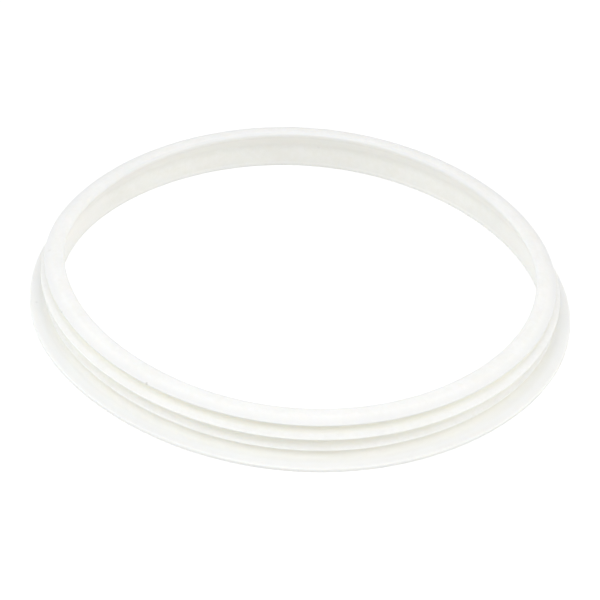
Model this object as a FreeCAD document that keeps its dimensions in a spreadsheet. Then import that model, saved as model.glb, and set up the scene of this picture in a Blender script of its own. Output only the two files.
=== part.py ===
import FreeCAD, Part
import Sketcher
import math
import os

# A moulded silicone ring gasket, one piece, lying on its thin flange.
# Its own frame has the ring's axis on Z and the underside of the flange on Z = 0.
# The section, from the bottom up and from the bore outwards:
#   a thin flange, a short foot with a small bead on it, a thin sleeve with two
#   sealing lips that stand out like barbs, and a head whose nose leans in over the bore.

SHEET = "Sizes"
FULL_TURN = 360.0

# Driving sizes in millimetres: alias, value, meaning.
DRIVING_SIZES = [
    ("bore_radius", 80.0, "straight lower part of the bore"),
    ("bore_straight", 8.4, "height of the straight part of the bore"),
    ("throat_overhang", 3.8, "how far the nose leans in over the bore"),
    ("sleeve_wall", 1.4, "wall between the bore and the grooves"),
    ("flange_reach", 9.0, "flange, from the bore to its rim"),
    ("flange_rim", 1.3, "thickness of the flange at its rim"),
    ("flange_taper", 0.1, "extra thickness of the flange at its root"),
    ("foot_wall", 3.2, "wall of the foot under the bead"),
    ("foot_rise", 2.8, "height of the foot's wall over the flange"),
    ("bead_reach", 0.6, "how far the bead stands out from the foot"),
    ("bead_land", 0.5, "height of the bead's edge"),
    ("bead_fall", 0.8, "drop of the bead's top from root to edge"),
    ("middle_gap", 4.4, "from the bead's edge up to the middle lip's edge"),
    ("middle_reach", 3.3, "middle lip, from the sleeve to its edge"),
    ("middle_land", 0.55, "height of the middle lip's edge"),
    ("middle_fall", 1.0, "drop of the middle lip's top from root to edge"),
    ("top_gap", 3.6, "from the middle lip's edge up to the top lip's edge"),
    ("top_reach", 1.7, "top lip, from the sleeve to its edge"),
    ("top_land", 0.6, "height of the top lip's edge"),
    ("lip_undercut", 0.3, "rise of each lip's underside towards the sleeve"),
    ("shoulder_width", 3.1, "sloping outer part of the head's top"),
    ("shoulder_rise", 1.6, "rise of the shoulder over the top lip's edge"),
    ("crown_rise", 0.2, "rise of the nose over the shoulder"),
    ("nose_round", 1.2, "rounding of the nose"),
    ("shoulder_bevel", 0.6, "broken fold between the slope and the top of the nose"),
    ("throat_blend", 6.0, "blend of the straight bore into the nose"),
    ("cove_bevel", 1.3, "filled corner between the foot and the flange"),
    ("groove_bevel", 1.2, "filled corner where a groove meets the lip below it"),
    ("undercut_bevel", 0.5, "filled corner where a groove meets the lip above it"),
    ("edge_bevel", 0.15, "broken edges of the two lips"),
    ("rim_bevel", 0.2, "broken upper edge of the rim"),
]

# Sizes that follow from the driving ones: alias, formula, meaning.
DERIVED_SIZES = [
    ("sleeve_radius", "=bore_radius + sleeve_wall", "outside of the sleeve, bottom of the grooves"),
    ("throat_radius", "=bore_radius - throat_overhang", "tip of the nose, narrowest part of the ring"),
    ("flange_radius", "=bore_radius + flange_reach", "rim of the flange, the ring's widest part"),
    ("foot_radius", "=bore_radius + foot_wall", "outside of the foot"),
    ("bead_radius", "=foot_radius + bead_reach", "edge of the bead"),
    ("middle_radius", "=sleeve_radius + middle_reach", "edge of the middle lip"),
    ("top_radius", "=sleeve_radius + top_reach", "edge of the top lip"),
    ("shoulder_radius", "=top_radius - shoulder_width", "where the head's top starts to fall"),
    ("flange_root", "=flange_rim + flange_taper", "height of the flange's top at the foot"),
    ("bead_under", "=flange_root + foot_rise", "lower corner of the bead's edge"),
    ("bead_top", "=bead_under + bead_land", "upper corner of the bead's edge"),
    ("bead_root", "=bead_top + bead_fall", "where the bead's top meets the sleeve"),
    ("middle_under", "=bead_top + middle_gap", "lower corner of the middle lip's edge"),
    ("middle_top", "=middle_under + middle_land", "upper corner of the middle lip's edge"),
    ("middle_root", "=middle_top + middle_fall", "where the middle lip's top meets the sleeve"),
    ("middle_under_root", "=middle_under + lip_undercut", "where its underside meets the sleeve"),
    ("top_under", "=middle_top + top_gap", "lower corner of the top lip's edge"),
    ("top_top", "=top_under + top_land", "upper corner of the top lip's edge"),
    ("top_under_root", "=top_under + lip_undercut", "where its underside meets the sleeve"),
    ("shoulder_height", "=top_top + shoulder_rise", "height of the shoulder"),
    ("crown_height", "=shoulder_height + crown_rise", "top of the nose, overall height of the ring"),
    ("nose_radius", "=throat_radius + nose_round", "centre of the nose's rounding, from the axis"),
    ("nose_height", "=crown_height - nose_round", "centre of the nose's rounding, from the ground"),
]

SHARP = "sharp"
ROUND = "round"
BEVEL = "bevel"
NOSE = "nose"

# The section's corners, going round it once, anticlockwise, from the bore's bottom edge.
# Each has the aliases of its radius and height, how it is finished, and the alias of the
# rounding or bevel. An empty height is the ground plane. Radius and height are those of
# the corner itself, but of the nose they are those of its rounding's centre.
SECTION = [
    ("bore_radius", "", SHARP, ""),
    ("flange_radius", "", SHARP, ""),
    ("flange_radius", "flange_rim", BEVEL, "rim_bevel"),
    ("foot_radius", "flange_root", BEVEL, "cove_bevel"),
    ("foot_radius", "bead_under", SHARP, ""),
    ("bead_radius", "bead_under", SHARP, ""),
    ("bead_radius", "bead_top", SHARP, ""),
    ("sleeve_radius", "bead_root", BEVEL, "groove_bevel"),
    ("sleeve_radius", "middle_under_root", BEVEL, "undercut_bevel"),
    ("middle_radius", "middle_under", BEVEL, "edge_bevel"),
    ("middle_radius", "middle_top", BEVEL, "edge_bevel"),
    ("sleeve_radius", "middle_root", BEVEL, "groove_bevel"),
    ("sleeve_radius", "top_under_root", BEVEL, "undercut_bevel"),
    ("top_radius", "top_under", BEVEL, "edge_bevel"),
    ("top_radius", "top_top", BEVEL, "edge_bevel"),
    ("shoulder_radius", "shoulder_height", BEVEL, "shoulder_bevel"),
    ("nose_radius", "nose_height", NOSE, "nose_round"),
    ("bore_radius", "bore_straight", ROUND, "throat_blend"),
]

START = 1
END = 2
CENTRE = 3
ORIGIN = (-1, START)
GROUND = -1


def fill_sheet(document):
    """Write the driving and derived sizes, each with its alias and meaning."""
    sheet = document.addObject("Spreadsheet::Sheet", SHEET)
    row = 1
    for alias, value, meaning in DRIVING_SIZES + DERIVED_SIZES:
        sheet.set(f"A{row}", alias)
        sheet.set(f"B{row}", str(value))
        sheet.setAlias(f"B{row}", alias)
        sheet.set(f"C{row}", meaning)
        row += 1
    document.recompute()
    return sheet


def origin_plane(body, role):
    """Return the body's own origin plane with this role."""
    return next(plane for plane in body.Origin.OriginFeatures if plane.Role == role)


def size(sheet, alias):
    """Return a size from the sheet; no alias means nothing, so zero."""
    return getattr(sheet, alias) if alias else 0.0


def left_of(direction):
    """Return the direction a quarter turn anticlockwise from this one."""
    return FreeCAD.Vector(-direction.y, direction.x, 0)


def heading(degrees):
    """Return the direction with this angle from the radius."""
    return FreeCAD.Vector(math.cos(math.radians(degrees)), math.sin(math.radians(degrees)), 0)


def angle_between(point, target):
    """Return the angle of the line from one point to another, in degrees from the radius."""
    return math.degrees(math.atan2(target.y - point.y, target.x - point.x))


class Corner:
    """A corner of the section: its place, its finish and where its finish starts and ends."""

    def __init__(self, sheet, row):
        self.radius_alias, self.height_alias, self.finish, self.extent_alias = row
        self.place = FreeCAD.Vector(size(sheet, self.radius_alias), size(sheet, self.height_alias), 0)
        self.extent = size(sheet, self.extent_alias)

    def find_tip(self, before, after):
        """Move the nose's place from its rounding's centre to where its two tangents meet."""
        centre = self.place
        half_width_before = math.degrees(math.asin(self.extent / centre.distanceToPoint(before.place)))
        half_width_after = math.degrees(math.asin(self.extent / centre.distanceToPoint(after.place)))
        arriving = heading(angle_between(before.place, centre) - half_width_before)
        leaving = heading(angle_between(centre, after.place) + half_width_after)
        outward = (left_of(arriving) + left_of(leaving)).normalize().negative()
        self.place = centre + outward * (self.extent / math.cos(arriving.getAngle(leaving) / 2))

    def find_ends(self, before, after):
        """Work out where this corner's rounding or bevel leaves the lines on both sides."""
        arriving = (self.place - before.place).normalize()
        leaving = (after.place - self.place).normalize()
        self.turns_left = arriving.cross(leaving).z > 0
        reach = self.extent
        if self.finish in (ROUND, NOSE):
            reach = self.extent * math.tan(arriving.getAngle(leaving) / 2)
        self.start = self.place - arriving * reach
        self.end = self.place + leaving * reach
        side = left_of(arriving) if self.turns_left else left_of(arriving).negative()
        self.centre = self.start + side * self.extent

    def arc(self):
        """Return the rounding as an arc, which runs anticlockwise."""
        circle = Part.Circle(self.centre, FreeCAD.Vector(0, 0, 1), self.extent)
        first, last = (self.start, self.end) if self.turns_left else (self.end, self.start)
        return Part.ArcOfCircle(circle, circle.parameter(first), circle.parameter(last))


def bind(sketch, kind, geometry, alias, value):
    """Add a dimension and tie it to a cell of the sheet."""
    place = sketch.addConstraint(Sketcher.Constraint(kind, *geometry, value))
    sketch.setExpression(f"Constraints[{place}]", f"{SHEET}.{alias}")


def hold_point(sketch, corner, geometry, vertex):
    """Fix the radius and the height of a point."""
    bind(sketch, "DistanceX", (*ORIGIN, geometry, vertex), corner.radius_alias, corner.place.x)
    if corner.height_alias:
        bind(sketch, "DistanceY", (*ORIGIN, geometry, vertex), corner.height_alias, corner.place.y)
    else:
        sketch.addConstraint(Sketcher.Constraint("PointOnObject", geometry, vertex, GROUND))


def mark_corner(sketch, corner, line_before, line_after):
    """Hold the point where two lines would meet, and return it."""
    mark = sketch.addGeometry(Part.Point(corner.place), True)
    sketch.addConstraint(Sketcher.Constraint("PointOnObject", mark, START, line_before))
    sketch.addConstraint(Sketcher.Constraint("PointOnObject", mark, START, line_after))
    hold_point(sketch, corner, mark, START)
    return mark


def join_sharp(sketch, corner, line_before, line_after):
    """Let two lines of the section meet in a sharp corner."""
    sketch.addConstraint(Sketcher.Constraint("Coincident", line_before, END, line_after, START))
    hold_point(sketch, corner, line_after, START)


def join_bevelled(sketch, corner, line_before, line_after):
    """Cut the corner of two lines off, equally far along both."""
    mark = mark_corner(sketch, corner, line_before, line_after)
    bevel = sketch.addGeometry(Part.LineSegment(corner.start, corner.end), False)
    sketch.addConstraint(Sketcher.Constraint("Coincident", line_before, END, bevel, START))
    sketch.addConstraint(Sketcher.Constraint("Coincident", bevel, END, line_after, START))
    for vertex in (START, END):
        bind(sketch, "Distance", (mark, START, bevel, vertex), corner.extent_alias, corner.extent)


def add_arc(sketch, corner, line_before, line_after):
    """Join two lines by an arc that is tangent to both, and return it."""
    arc = sketch.addGeometry(corner.arc(), False)
    first, last = (START, END) if corner.turns_left else (END, START)
    sketch.addConstraint(Sketcher.Constraint("Tangent", line_before, END, arc, first))
    sketch.addConstraint(Sketcher.Constraint("Tangent", arc, last, line_after, START))
    bind(sketch, "Radius", (arc,), corner.extent_alias, corner.extent)
    return arc


def join_rounded(sketch, corner, line_before, line_after):
    """Round the corner of two lines off, and hold the corner that it rounds."""
    mark_corner(sketch, corner, line_before, line_after)
    add_arc(sketch, corner, line_before, line_after)


def join_nose(sketch, corner, line_before, line_after):
    """Join two lines by the nose's rounding, and hold its centre."""
    arc = add_arc(sketch, corner, line_before, line_after)
    bind(sketch, "DistanceX", (*ORIGIN, arc, CENTRE), corner.radius_alias, corner.centre.x)
    bind(sketch, "DistanceY", (*ORIGIN, arc, CENTRE), corner.height_alias, corner.centre.y)


JOINS = {SHARP: join_sharp, ROUND: join_rounded, BEVEL: join_bevelled, NOSE: join_nose}


def section_corners(sheet):
    """Return the section's corners with their finishes worked out."""
    corners = [Corner(sheet, row) for row in SECTION]
    neighbours = list(zip(corners[-1:] + corners[:-1], corners, corners[1:] + corners[:1]))
    for before, corner, after in neighbours:
        if corner.finish == NOSE:
            corner.find_tip(before, after)
    for before, corner, after in neighbours:
        corner.find_ends(before, after)
    return corners


def draw_section(body, sheet):
    """Draw the closed section of the ring, each corner and finish bound to the sheet."""
    sketch = body.newObject("Sketcher::SketchObject", "RingSection")
    sketch.AttachmentSupport = [(origin_plane(body, "XZ_Plane"), "")]
    sketch.MapMode = "FlatFace"
    corners = section_corners(sheet)
    count = len(corners)
    for index, corner in enumerate(corners):
        following = corners[(index + 1) % count]
        sketch.addGeometry(Part.LineSegment(corner.end, following.start), False)
    for index, corner in enumerate(corners):
        line_before = (index - 1) % count
        JOINS[corner.finish](sketch, corner, line_before, index)
    return sketch


def revolve_section(body, sketch):
    """Turn the section round the ring's axis."""
    ring = body.newObject("PartDesign::Revolution", "Ring")
    ring.Profile = sketch
    ring.ReferenceAxis = (sketch, ["V_Axis"])
    ring.Angle = FULL_TURN
    return ring


def build_gasket(document, sheet):
    """Build the gasket ring as one body."""
    body = document.addObject("PartDesign::Body", "GasketRing")
    body.Label = "gasket_ring"
    body.Placement = FreeCAD.Placement()
    body.Tip = revolve_section(body, draw_section(body, sheet))
    document.recompute()
    return body


def check_document(document, bodies):
    """Stop if any object failed or any body is empty or invalid."""
    for item in document.Objects:
        if "Invalid" in item.State or "Error" in item.State:
            raise RuntimeError(f"{item.Name} failed: {item.State}")
    for body in bodies:
        if body.Shape.isNull() or not body.Shape.isValid():
            raise RuntimeError(f"{body.Label} has no valid shape")


def write_parts(bodies):
    """Write each body to a file with its own name."""
    os.makedirs("parts", exist_ok=True)
    for body in bodies:
        body.Shape.exportStep(f"parts/{body.Label}.step")
        box = body.Shape.optimalBoundingBox()
        print(
            body.Label,
            f"{box.XLength:.2f} x {box.YLength:.2f} x {box.ZLength:.2f} mm,",
            f"{body.Shape.Volume:.0f} mm3, {len(body.Shape.Faces)} faces",
        )


def main():
    document = FreeCAD.newDocument("RingGasket")
    sheet = fill_sheet(document)
    bodies = [build_gasket(document, sheet)]
    check_document(document, bodies)
    write_parts(bodies)


main()
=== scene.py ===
"""A white silicone ring gasket, moulded in one piece, and the studio it lies in.

The file is laid out as an add-on: the sizes and colours are properties, the ring and the
stage are made by one operator each, and a panel in the 3D view's sidebar lists them.
All lengths are in metres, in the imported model's own frame: Z is the ring's axis and the
underside of its flange lies on Z = 0.
"""

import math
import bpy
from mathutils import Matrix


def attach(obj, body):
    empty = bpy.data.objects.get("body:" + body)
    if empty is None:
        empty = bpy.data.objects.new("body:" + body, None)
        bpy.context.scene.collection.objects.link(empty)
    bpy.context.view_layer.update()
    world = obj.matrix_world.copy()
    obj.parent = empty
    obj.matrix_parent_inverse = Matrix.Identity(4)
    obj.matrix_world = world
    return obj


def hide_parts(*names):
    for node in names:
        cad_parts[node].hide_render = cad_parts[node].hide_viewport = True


bl_info = {
    "name": "Silicone Ring Gasket",
    "version": (1, 0, 0),
    "blender": (4, 5, 0),
    "location": "View3D > Sidebar > Gasket",
    "description": "Moulds a white silicone ring gasket with sealing lips and sets it in a pale studio",
    "category": "Add Mesh",
}

from typing import NamedTuple

import bmesh
import bpy
from bpy.props import FloatProperty, FloatVectorProperty, IntProperty, PointerProperty
from bpy.types import Operator, Panel, PropertyGroup
from mathutils import Matrix, Vector, noise

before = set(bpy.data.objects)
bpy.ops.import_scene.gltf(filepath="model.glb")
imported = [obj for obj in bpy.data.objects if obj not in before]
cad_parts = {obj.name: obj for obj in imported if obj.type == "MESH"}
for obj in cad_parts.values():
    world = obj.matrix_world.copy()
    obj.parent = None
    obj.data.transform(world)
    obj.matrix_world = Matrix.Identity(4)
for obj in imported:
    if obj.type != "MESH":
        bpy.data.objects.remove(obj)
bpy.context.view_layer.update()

NODE = "gasket_ring"
BODY = "root"
MILLIMETRE = 0.001
PICTURE_WIDTH = 600
WHITE = (1.0, 1.0, 1.0)

# Number of faces across each kind of rounding.
EDGE_STEPS = 4
COVE_STEPS = 8
SMALL_COVE_STEPS = 5
NOSE_STEPS = 14

# The ring's left end, where its section leans out with height: the direction from the
# axis, how sharply the lean fades to either side, and the height that stays in place.
LEFT_END = math.radians(176)
LEAN_SHARPNESS = 20
LEAN_PIVOT = 7 * MILLIMETRE

# Name of the mesh attribute that keeps each vertex's radius in the unbent ring.
MOULDED_RADIUS = "moulded_radius"


class GasketSection(PropertyGroup):
    """Sizes of the ring's section, from the bore outwards and from the flange up."""

    bore_radius: FloatProperty(
        name="Bore Radius",
        description="Radius of the straight lower part of the bore",
        default=0.08, min=0.02, unit="LENGTH",
    )
    bore_straight: FloatProperty(
        name="Straight Bore",
        description="Height of the straight part of the bore",
        default=0.0084, min=0.001, unit="LENGTH",
    )
    throat_overhang: FloatProperty(
        name="Throat Overhang",
        description="How far the nose leans in over the bore",
        default=0.0034, min=0, unit="LENGTH",
    )
    sleeve_wall: FloatProperty(
        name="Sleeve Wall",
        description="Wall between the bore and the grooves",
        default=0.0014, min=0.0005, unit="LENGTH",
    )
    lower_wall: FloatProperty(
        name="Lower Wall",
        description="Extra wall of the sleeve behind the lower groove",
        default=0.0006, min=0.0, unit="LENGTH",
    )
    flange_reach: FloatProperty(
        name="Flange Reach",
        description="Width of the flange, from the bore to its rim",
        default=0.009, min=0.004, unit="LENGTH",
    )
    flange_rim: FloatProperty(
        name="Flange Rim",
        description="Thickness of the flange at its rim",
        default=0.0013, min=0.0005, unit="LENGTH",
    )
    flange_taper: FloatProperty(
        name="Flange Taper",
        description="Extra thickness of the flange at its root",
        default=0.0001, min=0, unit="LENGTH",
    )
    foot_wall: FloatProperty(
        name="Foot Wall",
        description="Wall of the foot under the bead",
        default=0.003, min=0.001, unit="LENGTH",
    )
    foot_rise: FloatProperty(
        name="Foot Rise",
        description="Height of the foot's wall over the flange",
        default=0.0028, min=0.0005, unit="LENGTH",
    )
    bead_reach: FloatProperty(
        name="Bead Reach",
        description="How far the bead stands out from the foot",
        default=0.0008, min=0.0001, unit="LENGTH",
    )
    bead_land: FloatProperty(
        name="Bead Land",
        description="Height of the bead's edge",
        default=0.0005, min=0.0002, unit="LENGTH",
    )
    bead_fall: FloatProperty(
        name="Bead Fall",
        description="Drop of the bead's top from its root to its edge",
        default=0.0008, min=0, unit="LENGTH",
    )
    middle_gap: FloatProperty(
        name="Lower Groove",
        description="Height from the bead's edge to the middle lip's edge",
        default=0.0044, min=0.001, unit="LENGTH",
    )
    middle_reach: FloatProperty(
        name="Middle Lip Reach",
        description="Width of the middle lip, from the sleeve to its edge",
        default=0.0033, min=0.0005, unit="LENGTH",
    )
    middle_land: FloatProperty(
        name="Middle Lip Land",
        description="Height of the middle lip's edge",
        default=0.00055, min=0.0002, unit="LENGTH",
    )
    middle_fall: FloatProperty(
        name="Middle Lip Fall",
        description="Drop of the middle lip's top from its root to its edge",
        default=0.001, min=0, unit="LENGTH",
    )
    top_gap: FloatProperty(
        name="Upper Groove",
        description="Height from the middle lip's edge to the top lip's edge",
        default=0.0036, min=0.001, unit="LENGTH",
    )
    top_reach: FloatProperty(
        name="Top Lip Reach",
        description="Width of the top lip, from the sleeve to its edge",
        default=0.0017, min=0.0005, unit="LENGTH",
    )
    top_land: FloatProperty(
        name="Top Lip Land",
        description="Height of the top lip's edge",
        default=0.0006, min=0.0002, unit="LENGTH",
    )
    lip_undercut: FloatProperty(
        name="Lip Undercut",
        description="Rise of each lip's underside towards the sleeve",
        default=0.0003, min=0, unit="LENGTH",
    )
    shoulder_width: FloatProperty(
        name="Shoulder Width",
        description="Sloping outer part of the head's top",
        default=0.0031, min=0.0005, unit="LENGTH",
    )
    shoulder_rise: FloatProperty(
        name="Shoulder Rise",
        description="Rise of the shoulder over the top lip's edge",
        default=0.0016, min=0, unit="LENGTH",
    )
    crown_rise: FloatProperty(
        name="Crown Rise",
        description="Rise of the nose over the shoulder",
        default=0.00017, min=0, unit="LENGTH",
    )
    nose_round: FloatProperty(
        name="Nose Rounding",
        description="Rounding of the nose that leans in over the bore",
        default=0.0012, min=0.0002, unit="LENGTH",
    )
    shoulder_round: FloatProperty(
        name="Shoulder Blend",
        description="Rounding of the shoulder into the top of the nose",
        default=0.003, min=0.0001, unit="LENGTH",
    )
    throat_blend: FloatProperty(
        name="Throat Blend",
        description="Rounding between the straight bore and the nose",
        default=0.006, min=0.0001, unit="LENGTH",
    )
    cove_round: FloatProperty(
        name="Flange Cove",
        description="Rounding between the foot and the flange",
        default=0.0022, min=0.0001, unit="LENGTH",
    )
    groove_round: FloatProperty(
        name="Groove Cove",
        description="Rounding where the upper groove meets the lip below it",
        default=0.0016, min=0.0001, unit="LENGTH",
    )
    bead_cove: FloatProperty(
        name="Bead Cove",
        description="Rounding where the lower groove meets the bead below it",
        default=0.0022, min=0.0001, unit="LENGTH",
    )
    undercut_round: FloatProperty(
        name="Undercut Cove",
        description="Rounding where a groove meets the lip above it",
        default=0.0006, min=0.0001, unit="LENGTH",
    )
    edge_round: FloatProperty(
        name="Lip Edge",
        description="Rounding of the edges of the lips and the bead",
        default=0.0002, min=0.00005, unit="LENGTH",
    )
    rim_round: FloatProperty(
        name="Rim Edge",
        description="Rounding of the flange's rim",
        default=0.0003, min=0.00005, unit="LENGTH",
    )
    heel_round: FloatProperty(
        name="Heel Edge",
        description="Rounding of the bore's bottom edge",
        default=0.0004, min=0.00005, unit="LENGTH",
    )


class GasketLie(PropertyGroup):
    """How the soft ring lies: a little out of round, with slightly uneven lips."""

    oval: FloatProperty(
        name="Oval",
        description="How far the ring is pressed in at two opposite quarters",
        default=0.00054, min=0.0, max=0.003, unit="LENGTH",
    )
    square: FloatProperty(
        name="Flat Quarters",
        description="How far the ring lies flatter between its four outermost points",
        default=0.00051, min=0.0, max=0.002, unit="LENGTH",
    )
    lobe: FloatProperty(
        name="Third Lobe",
        description="Height of the three slow bulges round the ring",
        default=0.00015, min=0.0, max=0.002, unit="LENGTH",
    )
    slack: FloatProperty(
        name="Slack",
        description="How much the free ring has drawn in all round",
        default=0.00055, min=0.0, max=0.003, unit="LENGTH",
    )
    lean: FloatProperty(
        name="Lean",
        description="How far the section leans out on the ring's left, for each unit of height",
        default=0.12, min=0.0, max=0.3,
    )
    lip_wander: FloatProperty(
        name="Lip Wander",
        description="How far the thin lips rise and fall round the ring",
        default=0.00008, min=0.0, max=0.001, unit="LENGTH",
    )
    around: IntProperty(
        name="Steps Around",
        description="Number of steps in the full turn of the section",
        default=480, min=32, max=720,
    )


class GasketFinish(PropertyGroup):
    """Colour and surface of the moulded silicone, with the colours of its painted light and shade."""

    clear_white: FloatVectorProperty(
        name="Clear White",
        description="Colour of the rubber where it is cleanest",
        subtype="COLOR", size=4, min=0.0, max=1.0,
        default=(0.92, 0.922, 0.915, 1.0),
    )
    milky_white: FloatVectorProperty(
        name="Milky White",
        description="Colour of the faintly greyer, warmer patches",
        subtype="COLOR", size=4, min=0.0, max=1.0,
        default=(0.885, 0.885, 0.865, 1.0),
    )
    # Painted light: the thin flange is made whiter in colour, standing in for the light from the white
    # table that shines through it.
    flange_painted_light: FloatVectorProperty(
        name="Thin White",
        description="Colour of the thin flange, where the white table shows through",
        subtype="COLOR", size=4, min=0.0, max=1.0,
        default=(0.965, 0.967, 0.955, 1.0),
    )
    # Painted shade: the root between the flange and the bead is made darker and warmer, standing in for
    # the shade that the lips above cast into the flange's cove.
    root_painted_shade: FloatVectorProperty(
        name="Root White",
        description="Colour of the thick, warm root between the flange and the bead",
        subtype="COLOR", size=4, min=0.0, max=1.0,
        default=(0.82, 0.81, 0.73, 1.0),
    )
    # Painted shade: the bottoms of the two grooves are made warmer and a little darker, standing in for
    # the warm shade inside them.
    groove_painted_shade: FloatVectorProperty(
        name="Groove White",
        description="Colour of the rubber at the bottoms of the two grooves",
        subtype="COLOR", size=4, min=0.0, max=1.0,
        default=(0.905, 0.9, 0.835, 1.0),
    )
    # Painted shade: the head is made greyer round its outer edge and on the nose's rounding away from
    # the ring's ends, toning down where the lamps light it most, and only a little on its top.
    head_painted_shade: FloatVectorProperty(
        name="Head White",
        description="Colour of the thick head, most at its edges and least on its top",
        subtype="COLOR", size=4, min=0.0, max=1.0,
        default=(0.84, 0.845, 0.845, 1.0),
    )
    # Painted light: the inner wall's two ends are made whiter, standing in for the reflection seen
    # there at a glancing angle, and its leaning upper part is made whiter to lighten the shade under
    # the nose.
    wall_painted_light: FloatVectorProperty(
        name="Wall White",
        description="Colour of the inner wall's two ends and of its leaning upper part",
        subtype="COLOR", size=4, min=0.0, max=1.0,
        default=(0.99, 0.99, 0.975, 1.0),
    )
    speck_grey: FloatVectorProperty(
        name="Speck Grey",
        description="Colour of the few dust specks and scuffs",
        subtype="COLOR", size=4, min=0.0, max=1.0,
        default=(0.42, 0.41, 0.38, 1.0),
    )
    roughness: FloatProperty(
        name="Roughness",
        description="Mean roughness of the satin surface",
        default=0.4, min=0.0, max=1.0, subtype="FACTOR",
    )
    translucence: FloatProperty(
        name="Translucence",
        description="Share of light that scatters inside the rubber",
        default=0.4, min=0.0, max=1.0, subtype="FACTOR",
    )
    scatter_depth: FloatProperty(
        name="Scatter Depth",
        description="How far light travels inside the rubber",
        default=0.0025, min=0.0001, unit="LENGTH",
    )


class StudioSettings(PropertyGroup):
    """Camera, lamps and floor."""

    elevation: FloatProperty(
        name="Camera Elevation",
        description="Angle of the camera above the floor",
        default=math.radians(36.01), subtype="ANGLE", unit="ROTATION",
    )
    roll: FloatProperty(
        name="Camera Roll",
        description="Turn of the camera about its own line of sight",
        default=math.radians(3.74), subtype="ANGLE", unit="ROTATION",
    )
    distance: FloatProperty(
        name="Camera Distance",
        description="Distance from the camera to the centre of the ring's base",
        default=1.19, min=0.1, unit="LENGTH",
    )
    aim_behind: FloatProperty(
        name="Aim Behind",
        description="How far behind the centre of the ring's base the camera looks",
        default=0.0011, unit="LENGTH",
    )
    ring_width_px: FloatProperty(
        name="Ring Width in Pixels",
        description="Width of the flange in a picture 600 pixels wide, seen from straight above",
        default=542.8, min=10.0,
    )
    ambient: FloatProperty(
        name="Ambient",
        description="Strength of the even light from all round",
        default=0.6, min=0.0,
    )
    front: FloatProperty(
        name="Front Lamp",
        description="Power of the lamp above the camera, in watts",
        default=4.5, min=0.0,
    )
    left: FloatProperty(
        name="Left Lamp",
        description="Power of the lamp on the left, in watts",
        default=2.6, min=0.0,
    )
    right: FloatProperty(
        name="Right Lamp",
        description="Power of the lamp on the right, in watts",
        default=2.3, min=0.0,
    )
    cool_white: FloatVectorProperty(
        name="Left Lamp Colour",
        description="Colour of the lamp on the left",
        subtype="COLOR", size=3, min=0.0, max=1.0,
        default=(0.95, 0.975, 1.0),
    )
    warm_white: FloatVectorProperty(
        name="Right Lamp Colour",
        description="Colour of the lamp on the right",
        subtype="COLOR", size=3, min=0.0, max=1.0,
        default=(1.0, 0.985, 0.955),
    )


class Corner(NamedTuple):
    """A corner of the section, and how far it is rounded."""

    radius: float
    height: float
    rounding: float
    segments: int


def left_of(direction):
    """The direction a quarter turn anticlockwise from this one."""
    return Vector((-direction.y, direction.x))


def nose_tip(before, centre, after, rounding):
    """Where the two lines that touch the nose's rounding would meet."""
    to_centre = centre - before
    from_centre = after - centre
    arriving = to_centre.copy()
    arriving.rotate(Matrix.Rotation(-math.asin(rounding / to_centre.length), 2))
    leaving = from_centre.copy()
    leaving.rotate(Matrix.Rotation(math.asin(rounding / from_centre.length), 2))
    outward = -(left_of(arriving.normalized()) + left_of(leaving.normalized())).normalized()
    return centre + outward * rounding / math.cos(arriving.angle(leaving) / 2)


def section_corners(sizes):
    """Work out the corners of the closed section, going round it once from the heel.

    The roundings are the visible ring's own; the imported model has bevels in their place.
    """
    sleeve = sizes.bore_radius + sizes.sleeve_wall
    lower_sleeve = sleeve + sizes.lower_wall
    rim = sizes.bore_radius + sizes.flange_reach
    foot = sizes.bore_radius + sizes.foot_wall
    bead = foot + sizes.bead_reach
    middle = sleeve + sizes.middle_reach
    top = sleeve + sizes.top_reach
    flange_root = sizes.flange_rim + sizes.flange_taper
    bead_under = flange_root + sizes.foot_rise
    bead_top = bead_under + sizes.bead_land
    middle_under = bead_top + sizes.middle_gap
    middle_top = middle_under + sizes.middle_land
    top_under = middle_top + sizes.top_gap
    top_top = top_under + sizes.top_land
    shoulder = Vector((top - sizes.shoulder_width, top_top + sizes.shoulder_rise))
    throat = Vector((sizes.bore_radius, sizes.bore_straight))
    nose = Vector((
        sizes.bore_radius - sizes.throat_overhang + sizes.nose_round,
        shoulder.y + sizes.crown_rise - sizes.nose_round,
    ))
    tip = nose_tip(shoulder, nose, throat, sizes.nose_round)
    return [
        Corner(sizes.bore_radius, 0.0, sizes.heel_round, EDGE_STEPS),
        Corner(rim, 0.0, sizes.rim_round, EDGE_STEPS),
        Corner(rim, sizes.flange_rim, sizes.rim_round, EDGE_STEPS),
        Corner(foot, flange_root, sizes.cove_round, COVE_STEPS),
        Corner(foot, bead_under, sizes.edge_round / 2, EDGE_STEPS // 2),
        Corner(bead, bead_under, sizes.edge_round, EDGE_STEPS),
        Corner(bead, bead_top, sizes.edge_round, EDGE_STEPS),
        Corner(lower_sleeve, bead_top + sizes.bead_fall, sizes.bead_cove, COVE_STEPS),
        Corner(lower_sleeve, middle_under + sizes.lip_undercut, sizes.undercut_round, SMALL_COVE_STEPS),
        Corner(middle, middle_under, sizes.edge_round, EDGE_STEPS),
        Corner(middle, middle_top, sizes.edge_round, EDGE_STEPS),
        Corner(sleeve, middle_top + sizes.middle_fall, sizes.groove_round, COVE_STEPS),
        Corner(sleeve, top_under + sizes.lip_undercut, sizes.undercut_round, SMALL_COVE_STEPS),
        Corner(top, top_under, sizes.edge_round, EDGE_STEPS),
        Corner(top, top_top, sizes.edge_round, EDGE_STEPS),
        Corner(*shoulder, sizes.shoulder_round, SMALL_COVE_STEPS),
        Corner(*tip, sizes.nose_round, NOSE_STEPS),
        Corner(*throat, sizes.throat_blend, COVE_STEPS),
    ]


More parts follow.
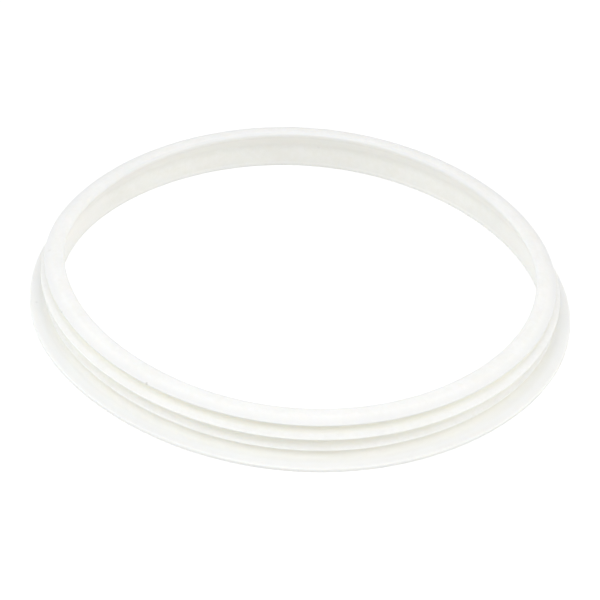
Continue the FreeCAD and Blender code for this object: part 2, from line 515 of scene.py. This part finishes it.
def tangent_length(before, here, after):
    """Distance from a corner to where its rounding starts on either side."""
    arriving = Vector((here.radius - before.radius, here.height - before.height))
    leaving = Vector((after.radius - here.radius, after.height - here.height))
    return here.rounding * math.tan(arriving.angle(leaving) / 2)


def at_corner(vert, corner):
    """Whether a vertex lies on the ring that this corner of the section draws."""
    tolerance = 0.002 * MILLIMETRE
    off_radius = abs(math.hypot(vert.co.x, vert.co.y) - corner.radius)
    off_height = abs(vert.co.z - corner.height)
    return off_radius < tolerance and off_height < tolerance


def revolve_section(bm, corners, steps):
    """Turn the closed section round Z into a closed ring."""
    verts = [bm.verts.new((corner.radius, 0.0, corner.height)) for corner in corners]
    edges = [bm.edges.new((verts[index - 1], verts[index])) for index in range(len(verts))]
    bmesh.ops.spin(
        bm,
        geom=verts + edges,
        cent=(0.0, 0.0, 0.0),
        axis=(0.0, 0.0, 1.0),
        angle=math.tau,
        steps=steps,
        use_merge=True,
    )
    bmesh.ops.recalc_face_normals(bm, faces=bm.faces)


def round_corners(bm, corners):
    """Round every corner of the section all the way round the ring."""
    count = len(corners)
    for index, corner in enumerate(corners):
        before = corners[index - 1]
        after = corners[(index + 1) % count]
        edges = [edge for edge in bm.edges if all(at_corner(vert, corner) for vert in edge.verts)]
        bmesh.ops.bevel(
            bm,
            geom=edges,
            offset=tangent_length(before, corner, after),
            offset_type="OFFSET",
            segments=corner.segments,
            profile=0.5,
            affect="EDGES",
            material=-1,
            clamp_overlap=False,
        )


def divide_flats(bm, longest):
    """Divide the wide bands of the section, so that each row of faces is narrow."""
    groups = {}
    for edge in bm.edges:
        start, end = edge.verts
        rise = end.co.z - start.co.z
        spread = math.hypot(end.co.x, end.co.y) - math.hypot(start.co.x, start.co.y)
        cuts = int(math.hypot(rise, spread) / longest)
        if cuts:
            groups.setdefault(cuts, []).append(edge)
    for cuts, edges in groups.items():
        bmesh.ops.subdivide_edges(bm, edges=edges, cuts=cuts, use_grid_fill=True)


def outward_shift(lie, angle, height):
    """How far the soft ring has moved away from its axis at one place."""
    shift = -lie.slack - lie.oval * math.sin(2 * angle)
    shift += lie.square * math.cos(4 * angle) - lie.lobe * math.cos(3 * angle)
    leftness = max(0.0, math.cos(angle - LEFT_END)) ** LEAN_SHARPNESS
    return shift + lie.lean * leftness * (height - LEAN_PIVOT)


def lip_rise(lie, angle, height):
    """How far a lip's edge has risen or fallen at one place."""
    waves_around = 4
    waves_per_metre = 160
    usual_noise = 0.5
    place = Vector((
        waves_around * math.cos(angle),
        waves_around * math.sin(angle),
        waves_per_metre * height,
    ))
    return lie.lip_wander * noise.noise(place) / usual_noise


def lie_on_table(bm, sizes, lie):
    """Let the soft ring lie a little out of round, with slightly uneven lips."""
    lip_start = sizes.bore_radius + sizes.sleeve_wall
    lip_end = sizes.bore_radius + sizes.flange_reach
    lowest_lip = 2 * sizes.flange_rim
    moulded_radius = bm.verts.layers.float.new(MOULDED_RADIUS)
    for vert in bm.verts:
        angle = math.atan2(vert.co.y, vert.co.x)
        radius = math.hypot(vert.co.x, vert.co.y)
        vert[moulded_radius] = radius
        shift = outward_shift(lie, angle, vert.co.z)
        vert.co.x += shift * math.cos(angle)
        vert.co.y += shift * math.sin(angle)
        looseness = max(0.0, (radius - lip_start) / (lip_end - lip_start))
        if vert.co.z > lowest_lip:
            vert.co.z += looseness * lip_rise(lie, angle, vert.co.z)


def mould_ring(name, sizes, lie):
    """Make the gasket's mesh and return its object."""
    bm = bmesh.new()
    corners = section_corners(sizes)
    revolve_section(bm, corners, lie.around)
    round_corners(bm, corners)
    divide_flats(bm, longest=0.8 * MILLIMETRE)
    lie_on_table(bm, sizes, lie)
    bmesh.ops.recalc_face_normals(bm, faces=bm.faces)
    for face in bm.faces:
        face.smooth = True
    mesh = bpy.data.meshes.new(name)
    bm.to_mesh(mesh)
    bm.free()
    ring = bpy.data.objects.new(name, mesh)
    bpy.context.scene.collection.objects.link(ring)
    return ring


class NodeSheet:
    """A material's or world's node tree, with short calls to fill it."""

    def __init__(self, owner):
        owner.use_nodes = True
        self.tree = owner.node_tree
        self.tree.nodes.clear()

    def add(self, kind, settings=None, **inputs):
        """Add a node, set its own settings, and set or link its inputs by name."""
        node = self.tree.nodes.new(kind)
        for key, value in (settings or {}).items():
            setattr(node, key, value)
        for key, value in inputs.items():
            self.feed(node.inputs[key.replace("_", " ")], value)
        return node

    def feed(self, socket, value):
        """Link an output to a socket, or set the socket's own value."""
        if isinstance(value, bpy.types.NodeSocket):
            self.tree.links.new(value, socket)
        else:
            socket.default_value = value

    def math(self, operation, first, second=0.0):
        """Add a math node and return its result."""
        node = self.add("ShaderNodeMath", {"operation": operation})
        self.feed(node.inputs[0], first)
        self.feed(node.inputs[1], second)
        return node.outputs[0]

    def multiply_add(self, value, factor, addend):
        """Multiply a value, add another and return the result."""
        node = self.add("ShaderNodeMath", {"operation": "MULTIPLY_ADD"})
        for socket, item in zip(node.inputs, (value, factor, addend)):
            self.feed(socket, item)
        return node.outputs[0]

    def product(self, first, *others):
        """Multiply values by one another and return the result."""
        for other in others:
            first = self.math("MULTIPLY", first, other)
        return first

    def mix_colour(self, factor, first, second):
        """Mix two colours and return the result."""
        node = self.add("ShaderNodeMix", {"data_type": "RGBA"})
        self.feed(node.inputs["Factor"], factor)
        self.feed(node.inputs["A"], first)
        self.feed(node.inputs["B"], second)
        return next(socket for socket in node.outputs if socket.type == "RGBA")

    def spread(self, value, low, high, new_low=0.0, new_high=1.0):
        """Stretch a value from one range to another, held at the ends."""
        node = self.add("ShaderNodeMapRange", {"clamp": True}, Value=value)
        self.feed(node.inputs["From Min"], low)
        self.feed(node.inputs["From Max"], high)
        self.feed(node.inputs["To Min"], new_low)
        self.feed(node.inputs["To Max"], new_high)
        return node.outputs["Result"]


# Specks and scuffs on the ring: angle round it in degrees, from +X towards +Y,
# then radius, height and half-width in millimetres, and how dark it is.
SPECKS = [
    (235.7, 81.5, 13.8, 0.6, 0.5),
    (203.5, 82.2, 13.6, 0.55, 0.4),
    (180.6, 82.4, 14.7, 0.8, 0.12),
    (187.6, 86.2, 1.3, 0.6, 0.15),
    (87.9, 79.7, 8.2, 0.6, 0.1),
]


def speck_mask(sheet, place):
    """Return how strongly the specks colour each point."""
    dark_core = 0.4
    total = 0.0
    for degrees, radius, height, half_width, darkness in SPECKS:
        angle = math.radians(degrees)
        centre = Vector((radius * math.cos(angle), radius * math.sin(angle), height)) * MILLIMETRE
        gap = sheet.add("ShaderNodeVectorMath", {"operation": "DISTANCE"})
        sheet.feed(gap.inputs[0], place)
        sheet.feed(gap.inputs[1], centre)
        reach = half_width * MILLIMETRE
        strength = sheet.spread(gap.outputs["Value"], reach * dark_core, reach, darkness, 0.0)
        total = sheet.math("ADD", strength, total)
    return total


class Fade(NamedTuple):
    """How a tone's strength changes along one measure of the ring."""

    start: float
    end: float
    strength_before: float
    strength_after: float


# The fades below place the painted light and shade that tone_by_place mixes into the rubber's colour.
# Fades along the height over the flange's underside, in metres.
THIN_FLANGE = Fade(0.0014, 0.002, 0.8, 0.0)
BELOW_BEAD = Fade(0.0041, 0.0043, 1.0, 0.0)
ABOVE_BEAD = Fade(0.0043, 0.0045, 0.0, 1.0)
UNDER_TOP_LIP = Fade(0.0131, 0.0133, 1.0, 0.0)
ABOVE_GROOVES = Fade(0.0131, 0.0133, 0.0, 1.0)
LEANING_WALL = Fade(0.0088, 0.0104, 0.0, 0.8)
BELOW_NOSE = Fade(0.0128, 0.0138, 1.0, 0.0)
HEAD_EDGE = Fade(0.0141, 0.0152, 1.0, 0.1)
NOSE_ROUNDING = Fade(0.0142, 0.0148, 0.0, 1.0)

# Fades along the moulded radius, in metres.
OUTSIDE = Fade(0.0804, 0.081, 0.0, 1.0)
BORE_SIDE = Fade(0.0802, 0.0804, 1.0, 0.0)
NEAR_SLEEVE = Fade(0.0816, 0.0832, 1.0, 0.0)
NEAR_ROOT = Fade(0.0832, 0.0864, 0.6, 0.0)
NOSE_END = 0.077
SHOULDER_START = 0.0774

# Fades towards the left and right ends, along the distance in metres from the middle.
NEAR_ENDS = Fade(0.065, 0.076, 0.0, 1.0)
AWAY_FROM_ENDS = Fade(0.06, 0.074, 1.0, 0.0)


def tone_by_place(sheet, place, rubber, finish):
    """Paint light and shade into the colour by place, and return the colour: painted light on the thin
    flange and the inner wall, painted shade at the flange's root, in the grooves and on the head.
    """
    along = sheet.add("ShaderNodeSeparateXYZ", Vector=place).outputs
    height = along["Z"]
    sideways = sheet.math("ABSOLUTE", along["X"])
    radius = sheet.add("ShaderNodeAttribute", {"attribute_name": MOULDED_RADIUS}).outputs["Fac"]
    outside = sheet.spread(radius, *OUTSIDE)
    # Painted light on the thin flange, in place of light shining through it.
    flange = sheet.spread(height, *THIN_FLANGE)
    # Painted shade at the flange's root under the bead, fading out towards the rim.
    root = sheet.product(outside, sheet.spread(height, *BELOW_BEAD), sheet.spread(radius, *NEAR_ROOT))
    # Painted shade in the two grooves, near the sleeve.
    grooves = sheet.product(
        sheet.spread(height, *ABOVE_BEAD),
        sheet.spread(height, *UNDER_TOP_LIP),
        sheet.spread(radius, *NEAR_SLEEVE),
        outside,
    )
    # Painted reflection at the inner wall's ends and painted light on its leaning upper part, under the
    # nose.
    wall_light_mask = sheet.math(
        "MAXIMUM", sheet.spread(sideways, *NEAR_ENDS), sheet.spread(height, *LEANING_WALL)
    )
    wall = sheet.product(sheet.spread(radius, *BORE_SIDE), sheet.spread(height, *BELOW_NOSE), wall_light_mask)
    # Painted shade on the head: strongest round its outer edge, faint on its top, and on the nose's
    # rounding away from the ring's ends.
    shoulder = sheet.product(sheet.spread(height, *ABOVE_GROOVES), sheet.spread(height, *HEAD_EDGE))
    nose = sheet.product(
        sheet.spread(sideways, *AWAY_FROM_ENDS), sheet.spread(height, *NOSE_ROUNDING)
    )
    head = sheet.spread(radius, NOSE_END, SHOULDER_START, nose, shoulder)
    # Painted light and shade, each mixed into the rubber's colour by its mask.
    tones = [
        (flange, finish.flange_painted_light),
        (root, finish.root_painted_shade),
        (grooves, finish.groove_painted_shade),
        (wall, finish.wall_painted_light),
        (head, finish.head_painted_shade),
    ]
    for strength, colour in tones:
        rubber = sheet.mix_colour(strength, rubber, tuple(colour))
    return rubber


def silicone_material(finish):
    """White moulded silicone: satin, faintly milky, with a fine mould grain and a few specks, and with
    painted light and shade in its colour by place.
    """
    mottle_share = 0.45
    grain_share = 0.35
    milk_range = (0.38, 0.62)
    mottle_range = (0.3, 0.7)
    roughness_swing = 0.05
    material = bpy.data.materials.new("white_silicone_satin")
    sheet = NodeSheet(material)
    place = sheet.add("ShaderNodeTexCoord").outputs["Object"]
    clouds = sheet.add("ShaderNodeTexNoise", Vector=place, Scale=90.0, Detail=3.0).outputs["Fac"]
    mottle = sheet.add("ShaderNodeTexNoise", Vector=place, Scale=620.0, Detail=2.0).outputs["Fac"]
    grain = sheet.add("ShaderNodeTexNoise", Vector=place, Scale=3200.0, Detail=2.0).outputs["Fac"]
    cloudy = sheet.math("MULTIPLY", clouds, 1 - mottle_share)
    milk = sheet.spread(sheet.multiply_add(mottle, mottle_share, cloudy), *milk_range)
    rubber = sheet.mix_colour(milk, tuple(finish.clear_white), tuple(finish.milky_white))
    # Painted light and shade by place.
    rubber = tone_by_place(sheet, place, rubber, finish)
    colour = sheet.mix_colour(speck_mask(sheet, place), rubber, tuple(finish.speck_grey))
    smoothest = finish.roughness - roughness_swing
    roughest = finish.roughness + roughness_swing
    sheen = sheet.spread(mottle, *mottle_range, smoothest, roughest)
    relief = sheet.multiply_add(grain, grain_share, mottle)
    bump = sheet.add("ShaderNodeBump", Strength=0.35, Distance=0.06 * MILLIMETRE, Height=relief)
    rubber_shader = sheet.add(
        "ShaderNodeBsdfPrincipled",
        Base_Color=colour,
        Roughness=sheen,
        IOR=1.41,
        Subsurface_Weight=finish.translucence,
        Subsurface_Scale=finish.scatter_depth,
        Subsurface_Radius=(1.0, 0.9, 0.75),
        Normal=bump.outputs["Normal"],
    )
    sheet.add("ShaderNodeOutputMaterial", Surface=rubber_shader.outputs["BSDF"])
    return material


class GASKET_OT_ring(Operator):
    """Mould the gasket ring in white silicone"""

    bl_idname = "gasket.ring"
    bl_label = "Gasket Ring"

    def execute(self, context):
        scene = context.scene
        ring = mould_ring("ring_moulding", scene.gasket_section, scene.gasket_lie)
        ring.data.materials.append(silicone_material(scene.gasket_finish))
        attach(ring, BODY)
        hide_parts(NODE)
        return {"FINISHED"}


def seen_directly(sheet):
    """Return 1 for camera, glossy and transmission rays, and 0 for the light that falls on things."""
    path = sheet.add("ShaderNodeLightPath").outputs
    seen = sheet.math("MAXIMUM", path["Is Camera Ray"], path["Is Glossy Ray"])
    return sheet.math("MAXIMUM", seen, path["Is Transmission Ray"])


def floor_material():
    """A pale floor that reads as white paper and keeps the ring's soft shadow.

    The light that it throws back on the ring is a warm paper's; what is seen of it is a
    glow just short of white, which the lamps lift to white wherever the ring's shadow
    doesn't fall.
    """
    warm_paper = (0.8, 0.795, 0.74, 1.0)
    shadow_grey = (0.3, 0.3, 0.3, 1.0)
    material = bpy.data.materials.new("white_paper_floor")
    sheet = NodeSheet(material)
    paper = sheet.add("ShaderNodeBsdfDiffuse", Color=warm_paper).outputs["BSDF"]
    shaded = sheet.add("ShaderNodeBsdfDiffuse", Color=shadow_grey).outputs["BSDF"]
    glow = sheet.add("ShaderNodeEmission", Color=(*WHITE, 1.0), Strength=0.78).outputs["Emission"]
    white = sheet.add("ShaderNodeAddShader")
    sheet.feed(white.inputs[0], shaded)
    sheet.feed(white.inputs[1], glow)
    choice = sheet.add("ShaderNodeMixShader")
    sheet.feed(choice.inputs[0], seen_directly(sheet))
    sheet.feed(choice.inputs[1], paper)
    sheet.feed(choice.inputs[2], white.outputs["Shader"])
    sheet.add("ShaderNodeOutputMaterial", Surface=choice.outputs["Shader"])
    return material


def lay_floor():
    """Lay the floor that the ring lies on, a hair below the flange."""
    half_width = 4.0
    depth = 0.02 * MILLIMETRE
    bm = bmesh.new()
    bmesh.ops.create_grid(bm, x_segments=1, y_segments=1, size=half_width)
    bmesh.ops.translate(bm, verts=bm.verts, vec=(0.0, 0.0, -depth))
    mesh = bpy.data.meshes.new("studio_floor")
    bm.to_mesh(mesh)
    bm.free()
    mesh.materials.append(floor_material())
    floor = bpy.data.objects.new("studio_floor", mesh)
    bpy.context.scene.collection.objects.link(floor)


def light_world(studio):
    """Fill the room with an even white light that shows as white."""
    world = bpy.data.worlds.new("studio_air")
    bpy.context.scene.world = world
    sheet = NodeSheet(world)
    strength = sheet.spread(seen_directly(sheet), 0.0, 1.0, studio.ambient, 1.0)
    air = sheet.add("ShaderNodeBackground", Color=(*WHITE, 1.0), Strength=strength)
    sheet.add("ShaderNodeOutputWorld", Surface=air.outputs["Background"])


def hang_lamp(name, place, width, watts, colour):
    """Hang a square softbox that faces the ring."""
    lamp = bpy.data.lights.new(name, "AREA")
    lamp.shape = "SQUARE"
    lamp.size = width
    lamp.energy = watts
    lamp.color = colour
    holder = bpy.data.objects.new(name, lamp)
    towards = -Vector(place)
    holder.matrix_world = Matrix.LocRotScale(Vector(place), towards.to_track_quat("-Z", "Y"), None)
    bpy.context.scene.collection.objects.link(holder)


def place_camera(studio, sizes):
    """Look at the ring from the photograph's angle, with its frame."""
    camera = bpy.data.cameras.new("camera")
    rim = sizes.bore_radius + sizes.flange_reach
    pixels_per_metre = studio.ring_width_px / (2 * rim)
    camera.sensor_width = 36.0
    camera.lens = camera.sensor_width * pixels_per_metre * studio.distance / PICTURE_WIDTH
    place = studio.distance * Vector((0.0, -math.cos(studio.elevation), math.sin(studio.elevation)))
    holder = bpy.data.objects.new("camera", camera)
    aim = Vector((0.0, studio.aim_behind, 0.0))
    facing = (aim - place).to_track_quat("-Z", "Y").to_matrix() @ Matrix.Rotation(studio.roll, 3, "Z")
    holder.matrix_world = Matrix.LocRotScale(place, facing.to_quaternion(), None)
    bpy.context.scene.collection.objects.link(holder)
    bpy.context.scene.camera = holder


class GASKET_OT_stage(Operator):
    """Set up the floor, the lamps and the camera"""

    bl_idname = "gasket.stage"
    bl_label = "Studio"

    def execute(self, context):
        scene = context.scene
        studio = scene.gasket_studio
        scene.view_settings.view_transform = "Standard"
        lay_floor()
        light_world(studio)
        hang_lamp("front_softbox", (0.0, -0.6, 0.9), 0.8, studio.front, WHITE)
        hang_lamp("left_softbox", (-1.0, 0.0, 0.4), 0.7, studio.left, studio.cool_white)
        hang_lamp("right_softbox", (1.0, 0.0, 0.4), 0.7, studio.right, studio.warm_white)
        place_camera(studio, scene.gasket_section)
        return {"FINISHED"}


class GASKET_PT_sidebar(Panel):
    """Lists the ring, its sizes and the studio"""

    bl_idname = "GASKET_PT_sidebar"
    bl_label = "Ring Gasket"
    bl_space_type = "VIEW_3D"
    bl_region_type = "UI"
    bl_category = "Gasket"

    def draw(self, context):
        scene = context.scene
        groups = {
            GASKET_OT_ring: (scene.gasket_section, scene.gasket_lie, scene.gasket_finish),
            GASKET_OT_stage: (scene.gasket_studio,),
        }
        for operator, settings in groups.items():
            box = self.layout.box()
            for group in settings:
                for name in type(group).__annotations__:
                    box.prop(group, name)
            box.operator(operator.bl_idname)


CLASSES = (
    GasketSection,
    GasketLie,
    GasketFinish,
    StudioSettings,
    GASKET_OT_ring,
    GASKET_OT_stage,
    GASKET_PT_sidebar,
)

SETTINGS = {
    "gasket_section": GasketSection,
    "gasket_lie": GasketLie,
    "gasket_finish": GasketFinish,
    "gasket_studio": StudioSettings,
}


def register():
    """Add the classes, and the settings that each scene keeps."""
    for cls in CLASSES:
        bpy.utils.register_class(cls)
    for name, group in SETTINGS.items():
        setattr(bpy.types.Scene, name, PointerProperty(type=group))


def unregister():
    """Take the settings and the classes away again."""
    for name in SETTINGS:
        delattr(bpy.types.Scene, name)
    for cls in reversed(CLASSES):
        bpy.utils.unregister_class(cls)


def main():
    """Make the ring and its studio."""
    register()
    bpy.ops.gasket.ring()
    bpy.ops.gasket.stage()


if __name__ == "__main__":
    main()
